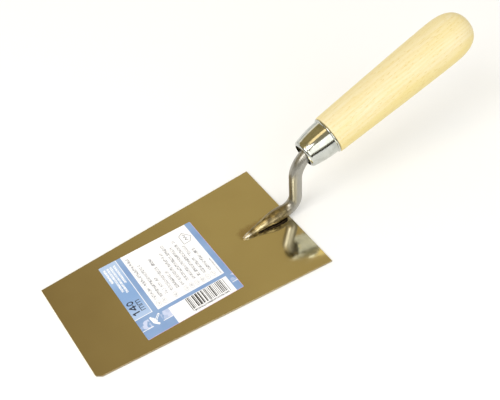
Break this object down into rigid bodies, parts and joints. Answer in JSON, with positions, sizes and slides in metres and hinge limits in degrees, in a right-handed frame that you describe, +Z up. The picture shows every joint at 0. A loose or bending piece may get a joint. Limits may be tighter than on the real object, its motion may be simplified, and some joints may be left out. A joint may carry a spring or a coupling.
{
  "type": "bucket trowel",
  "caption": "Square plasterer's trowel: a flat trapezoidal steel blade on a welded gooseneck shank, with a plated ferrule and a turned wooden handle. One rigid hand tool.",
  "frame": {"origin": "middle of the blade's flat underside", "axes": "+X along the blade from the toe towards the handle, +Y across the blade, +Z up out of the blade towards the handle"},
  "size_m": [0.2653, 0.0848, 0.0885],
  "materials": {
    "blade_steel": "mirror polished, with a warm straw tint",
    "label_paper": "printed, lightly coated",
    "shank_steel": "polished bar, heat tinted at the tongue",
    "weld_metal": "ground weld, heat tinted",
    "ferrule_chrome": "bright plated",
    "beech": "turned and lightly waxed"
  },
  "bodies": {
    "root": {"blade": "blade_steel", "label": "label_paper", "shank": "shank_steel", "weld_left": "weld_metal", "weld_right": "weld_metal", "weld_tip": "weld_metal", "ferrule": "ferrule_chrome", "handle": "beech"}
  },
  "joints": []
}
